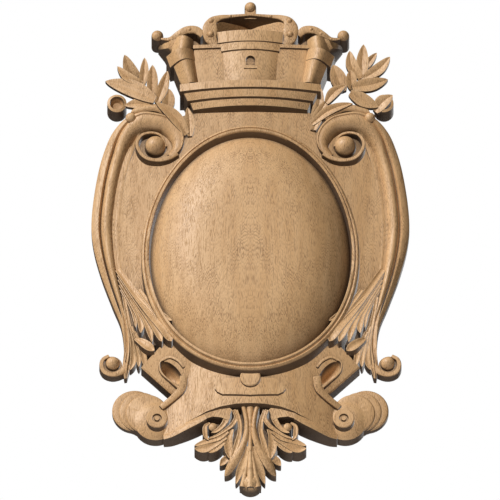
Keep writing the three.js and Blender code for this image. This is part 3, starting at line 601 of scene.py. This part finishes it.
# %% Acanthus
ACANTHUS = [
    [[-150.5, -6, 18, 7], [-130, -43, 30, 9], [-110.5, -75.5, 43, 11], [-97, -95.5, 50, 13],
     [-89.5, -111.5, 50, 10]],
    [[-149, -12.5, 18, 6], [-128.5, -50.5, 29, 7], [-114, -79, 42, 8], [-105.5, -96.5, 47, 9],
     [-100.5, -111, 48, 6]],
    [[-148, -18.5, 18, 6], [-131, -53, 27, 6.5], [-119.5, -78, 38, 7], [-114.5, -94, 43, 7.5],
     [-111.5, -109, 43, 3.5]],
    [[-147, -25, 18, 6], [-135, -50.5, 25, 6], [-127, -71, 33, 6.5], [-124, -83.5, 36, 7.5],
     [-124.5, -94.5, 36, 4]],
    [[-145.5, -31, 18, 6], [-137, -51, 23, 5], [-131.5, -69.5, 28, 5], [-130, -84.5, 29, 3]],
    [[-130.5, -98.5, 30, 4], [-123.5, -104.5, 35, 9], [-116, -111.5, 38, 10.5], [-109, -117.5, 38, 6]],
    [[-149, -36.5, 17, 8], [-143, -59, 18, 8], [-139.5, -84, 18, 8.5], [-139, -109, 16, 9],
     [-142.5, -134, 13, 6]],
    [[-143.5, -42, 20, 4], [-138, -76, 22, 5], [-133, -101, 21, 7], [-133, -121, 18, 7],
     [-136.5, -131, 15, 4]],
    [[-135.5, -80.5, 24, 4], [-130.5, -99.5, 24, 6], [-127, -117, 22, 6.5], [-126.5, -129.5, 20, 4]],
    [[-132, -88, 26, 4], [-126, -103, 26, 6], [-121, -119, 24, 7], [-119, -131.5, 22, 4]],
    [[-126.5, -37, 30, 5], [-114, -59, 38, 6], [-102.5, -74.5, 45, 8], [-89, -85.5, 50, 5]],
    [[-140, -27, 22, 4], [-124, -52.5, 33, 5], [-107, -75.5, 43, 5], [-91.5, -93, 50, 5]],
]
side += [lobe(route) for route in ACANTHUS]

# %% Palmette
PALMETTE = [
    [[-8, -183.5, 34, 5], [-4.5, -200, 33, 5.5], [-4, -215, 32, 6.5], [-8.5, -231.5, 30, 8],
     [-16.5, -246, 27, 11], [-23.5, -257, 22, 9.5], [-29, -264, 15, 5]],
    [[-16.5, -189.5, 33, 4.5], [-12.5, -202.5, 32, 4.5], [-12, -215.5, 31, 5], [-16, -232, 29, 6],
     [-21.5, -247, 26, 3.5]],
    [[-3.5, -232, 27, 4], [-6, -244, 25, 7.5], [-11.5, -258.5, 20, 8.5], [-16.5, -273, 13, 4.5]],
    [[-21, -210.5, 28, 5], [-24.5, -219.5, 27, 8.5], [-25, -232.5, 25, 9.5], [-23, -246, 23, 5]],
    [[-23.5, -239.5, 17, 6], [-29.5, -244.5, 16, 8.5], [-34.5, -250.5, 14, 5]],
    [[-25.5, -214.5, 30, 5], [-36, -222.5, 29, 6], [-49.5, -225.5, 27, 6.5], [-63.5, -230.5, 25, 5]],
    [[-27.5, -221, 28, 5], [-40.5, -228.5, 27, 8], [-52.5, -234, 25.5, 10], [-63.5, -233.5, 24, 5]],
    [[-29.5, -226, 26, 5], [-38.5, -233.5, 26, 7], [-47.5, -239, 25, 5.5]],
    [[-28.5, -189, 33.5, 6], [-26.5, -197, 33.5, 7], [-30, -206, 32.5, 6], [-37.5, -214, 31.5, 4.5],
     [-44.5, -217, 31, 2.5]],
    [[-19, -189, 33, 4.5], [-16, -197.5, 32, 5], [-21, -207.5, 32, 5], [-28.5, -213.5, 31, 4],
     [-37.5, -219.5, 30, 3], [-47.5, -223.5, 29, 2.5]],
    [[-46, -204, 30, 2], [-51, -208.5, 31, 4.5], [-51.5, -215, 31, 5.5], [-50.5, -221, 30, 4.5],
     [-47.5, -225.5, 29, 2]],
]
stems = [[[0, -181.5, 34, 9], [0, -201, 32, 6], [0, -220, 30, 5], [0, -238, 27, 5]],
         [[0, -230.5, 26.5, 4], [0, -246.5, 25.5, 6], [0, -263, 24, 7], [0, -280.5, 22.5, 8]]]
FAN = [[[-1.5, -235.5, 25, 3], [-4, -252.5, 24, 4.5], [-6.5, -267, 22, 5.5], [-9, -279, 19.5, 6.5]]]
side += [reed(route, 2.2) for route in PALMETTE[:1]] + [lobe(route) for route in PALMETTE[1:]]
side += [reed(route, 1.8, tip=0) for route in FAN]
side += [block([[-54, -193], [-52.5, -200.5], [-48.5, -199.5], [-42.5, -197.5], [-33.5, -198.5],
    [-25.5, -202], [-21, -189], [-30, -181.5], [-46, -181.5]], 32.5),
         disc([-42.5, -209.5], 4.9, [[0, 32.5], [0.5, 32], [0.8, 31], [1, 29.5]], 24)]
core = [*[reed(route, 2, tip=0) for route in stems],
        block(both_sides([[0, -276.5], [-12, -265], [-23, -246.5], [-30, -232.5], [-43.5, -212.5],
            [-41.5, -182.5], [-27.5, -162.5], [0, -157.5]]), 12),
        disc((0, -272.5), 12.6, [[0, 22.5], [0.3, 22.2], [0.55, 20.8], [0.75, 18], [0.9, 13], [1, 5]], 48,
            11.1)]
lip = disc((0, -157), 11.6, [[0, 53], [0.9, 53], [1, 52]], 48)
lower_tab = combined(block(both_sides([[0, -155.5], [-27.5, -155.5], [-40.5, -167.5], [-37.5, -172],
    [-31.5, -175.5], [0, -177.5]]), 53), [plate_skin(5)], "INTERSECT")

# %% One carving
half = united(side)
whole = united([half, mirrored(half), ring, field, ground, lower_plate, *base, middle_tower, *curtain,
    *top,
                *leaves, *core, lip, lower_tab])
sheet = closed_shell(np.array([[[-500, -500, 0], [500, -500, 0]], [[-500, 500, 0], [500, 500, 0]]],
    float))
behind = sheet[0] * [1, 2, 1], sheet[1]
carving = cut_by(whole, [behind])
print("carving triangles:", len(carving[1]))

# %% The piece
piece = as_object(carving, "oak_carving")
bpy.context.scene.collection.objects.link(piece)
mesh = piece.data
mesh.shade_smooth()
mesh.set_sharp_from_angle(angle=np.radians(30))
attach(piece, "root")
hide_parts("cartouche")

# %% [markdown]
# ## Oiled light oak
# The real finish is quarter- and flat-sawn oak, cut and scraped, then oiled and waxed. The colour has dark
# vessel streaks along the grain and arched growth rings on the field, the steep sides and deepest cuts are
# darkened as painted shade, and the gloss is satin. The two halves are book-matched, so the pattern mirrors at
# the middle.

# %% Colours and the node helper
def linear(hex_colour):
    """Linear RGBA of an sRGB hex value: each channel through the sRGB curve."""
    channels = np.array([int(hex_colour[k:k + 2], 16) for k in (0, 2, 4)]) / 255
    low = channels / 12.92
    high = ((channels + 0.055) / 1.055) ** 2.4
    return (*np.where(channels <= 0.04045, low, high).tolist(), 1.0)


oak = bpy.data.materials.new("oiled_light_oak")
oak.use_nodes = True
tree = oak.node_tree
shader = tree.nodes["Principled BSDF"]


def add(kind, links=(), **settings):
    """One node with its settings, and a link or a number for each input that is named or numbered."""
    node = tree.nodes.new("ShaderNode" + kind)
    for name, value in settings.items():
        setattr(node, name, value)
    for name, value in dict(links).items():
        if isinstance(value, bpy.types.NodeSocket):
            tree.links.new(value, node.inputs[name])
        else:
            node.inputs[name].default_value = value
    return node


def ramp(value, *stops):
    """A smooth change of value between stops of (position, level)."""
    node = add("ValToRGB", {0: value})
    node.color_ramp.interpolation = "EASE"
    while len(node.color_ramp.elements) < len(stops):
        node.color_ramp.elements.new(0.5)
    for element, (position, level) in zip(node.color_ramp.elements, stops):
        element.position, element.color = position, (level, level, level, 1)
    return node.outputs[0]


def maths(operation, a, b=0.0):
    return add("Math", {0: a, 1: b}, operation=operation).outputs[0]


# %% Growth rings and vessels
PER_MM = 1000.0
place = add("TexCoord").outputs["Object"]
split = add("SeparateXYZ", {0: place})
x, y, z = (maths("MULTIPLY", split.outputs[k], PER_MM) for k in range(3))
x = maths("ABSOLUTE", x)

ARCH_HALF_WIDTH = 55.0  # mm from the middle to where the arches have turned into straight grain
ARCH_SLOPE = 5.0
RING_SPACING = 6.5  # mm between growth lines along the grain
reach = maths("SQRT", maths("ADD", maths("MULTIPLY", x, x), ARCH_HALF_WIDTH ** 2))
arch = maths("MULTIPLY", maths("SUBTRACT", reach, ARCH_HALF_WIDTH), ARCH_SLOPE)
grown = maths("ADD", maths("ADD", z, arch), maths("MULTIPLY", y, 1.2))


def grain(across_mm, along_mm, detail=2.0, rough=0.5):
    """Noise whose grains are about across_mm wide and along_mm long."""
    point = add("CombineXYZ", {0: maths("DIVIDE", x, across_mm), 1: maths("DIVIDE", y, across_mm),
                               2: maths("DIVIDE", z, along_mm)})
    return add("TexNoise", {"Vector": point.outputs[0], "Scale": 1.0, "Detail": detail,
                            "Roughness": rough}).outputs[0]


teeth = maths("MULTIPLY", maths("SUBTRACT", grain(2.2, 40), 0.5), 26.0)
wander = maths("MULTIPLY", maths("SUBTRACT", grain(28, 60, 3), 0.5), 60.0)
phase = maths("DIVIDE", maths("ADD", grown, maths("ADD", teeth, wander)), RING_SPACING)
line = ramp(maths("FRACT", phase), (0.0, 1), (0.16, 0.55), (0.4, 0.08), (0.86, 0), (1.0, 1))
clusters = ramp(grain(16, 34, 2), (0.40, 0.0), (0.62, 1.0))
vessels = ramp(grain(0.9, 11, 2, 0.6), (0.54, 0), (0.66, 1))
fine = grain(0.5, 9, 2, 0.6)
broad = grain(14, 120, 2)

# %% Painted shade on the steep sides and in the cuts, and wear on the edges
# Painted shade: steep sides and narrow cuts are darkened in the colour, standing in for the shade that falls
# there.
steep = maths("MULTIPLY", add("SeparateXYZ", {0: add("TexCoord").outputs["Normal"]}).outputs[1], -1.0)
painted_shade_on_sides = ramp(steep, (0.12, 1), (0.5, 0))
cavity = add("AmbientOcclusion", {"Distance": 0.014}, samples=8).outputs["AO"]
painted_shade_in_cuts = ramp(cavity, (0.12, 1), (0.5, 0))
painted_shade = maths("MAXIMUM", painted_shade_on_sides, painted_shade_in_cuts)
outer = add("AmbientOcclusion", {"Distance": 0.0016}, samples=8, inside=True).outputs["AO"]
wear = ramp(outer, (0.3, 1), (0.75, 0))


def blend(amount, a, b, kind="MIX"):
    node = add("Mix", {0: amount}, data_type="RGBA", blend_type=kind)
    for slot, value in ((6, a), (7, b)):
        if isinstance(value, bpy.types.NodeSocket):
            tree.links.new(value, node.inputs[slot])
        else:
            node.inputs[slot].default_value = value
    return node.outputs[2]


base_colour = blend(ramp(broad, (0.3, 0), (0.7, 1)), linear("e0b684"), linear("d3a774"))
base_colour = blend(maths("MULTIPLY", ramp(fine, (0.35, 0), (0.7, 1)), 0.30), base_colour,
    linear("b98a58"))
figure = maths("MULTIPLY", line, maths("ADD", maths("MULTIPLY", clusters, 0.55), 0.30))
base_colour = blend(figure, base_colour, linear("8a6238"))
base_colour = blend(maths("MULTIPLY", vessels, 0.45), base_colour, linear("7d5730"))
base_colour = blend(maths("MULTIPLY", wear, 0.35), base_colour, linear("efcb9c"))
# Painted shade: near-black brown laid over the steep sides and the deep cuts.
base_colour = blend(maths("MULTIPLY", painted_shade, 0.9), base_colour, linear("2a1a10"))
tree.links.new(base_colour, shader.inputs["Base Color"])

# %% Gloss and relief of the grain
shader.inputs["IOR"].default_value = 1.5
shader.inputs["Specular IOR Level"].default_value = 0.6
rough = maths("ADD", maths("MULTIPLY", maths("MAXIMUM", vessels, painted_shade), 0.2), 0.52)
tree.links.new(rough, shader.inputs["Roughness"])
relief = maths("SUBTRACT", 1.0, maths("ADD", maths("MULTIPLY", vessels, 0.6),
    maths("MULTIPLY", figure, 0.5)))
bump = add("Bump", {"Height": relief, "Strength": 0.35, "Distance": 0.0006})
tree.links.new(bump.outputs[0], shader.inputs["Normal"])
piece.data.materials.append(oak)

# %% [markdown]
# ## Light, backdrop and camera
# One broad lamp from the upper left shows the relief. Its light casts no shadow, as in a bounced studio light,
# so that the cuts stay readable. The camera stands below and looks up, as at a panel hung high on a wall.

# %% Camera
camera = bpy.data.objects.new("camera", bpy.data.cameras.new("camera"))
bpy.context.scene.collection.objects.link(camera)
LOOK_UP = 25.0
camera.data.type = "ORTHO"
camera.data.ortho_scale = 0.5675
camera.rotation_euler = (np.radians(90 + LOOK_UP), 0, 0)
look = np.array([0, np.cos(np.radians(LOOK_UP)), np.sin(np.radians(LOOK_UP))])
camera.location = np.array([-0.00045, -0.00997, 0.02139]) - look * 1.6
camera.data.clip_end = 10
bpy.context.scene.camera = camera

# %% Lamps, world and floor
from mathutils import Vector


def sun(name, towards, energy, spread):
    """A distant lamp that shines from the direction towards."""
    lamp = bpy.data.objects.new(name, bpy.data.lights.new(name, "SUN"))
    bpy.context.scene.collection.objects.link(lamp)
    lamp.data.energy, lamp.data.angle = energy, np.radians(spread)
    lamp.data.use_shadow = False
    lamp.rotation_euler = Vector(towards).to_track_quat("Z", "Y").to_euler()
    return lamp


sun("key", (-0.55, -0.61, 0.57), 3.7, 10)
sun("behind", (0.35, 0.9, 0.3), 1.2, 10)

world = bpy.data.worlds.new("studio")
bpy.context.scene.world = world
world.use_nodes = True
air = world.node_tree
background = air.nodes["Background"]
path = air.nodes.new("ShaderNodeLightPath")
glow = air.nodes.new("ShaderNodeBackground")
glow.inputs["Color"].default_value = (1, 1, 1, 1)
glow.inputs["Strength"].default_value = 1
background.inputs["Color"].default_value = (1, 1, 1, 1)
background.inputs["Strength"].default_value = 0.05
both = air.nodes.new("ShaderNodeMixShader")
air.links.new(path.outputs["Is Camera Ray"], both.inputs[0])
air.links.new(background.outputs[0], both.inputs[1])
air.links.new(glow.outputs[0], both.inputs[2])
air.links.new(both.outputs[0], air.nodes["World Output"].inputs["Surface"])
bpy.context.scene.view_settings.view_transform = "Standard"

floor_mesh = bpy.data.meshes.new("floor")
floor_mesh.from_pydata([(-3, -3, -1.2), (3, -3, -1.2), (3, 3, -1.2), (-3, 3, -1.2)], [], [(0, 1, 2, 3)])
floor = bpy.data.objects.new("floor", floor_mesh)
bpy.context.scene.collection.objects.link(floor)
pale = bpy.data.materials.new("pale_paint")
pale.use_nodes = True
floor.data.materials.append(pale)
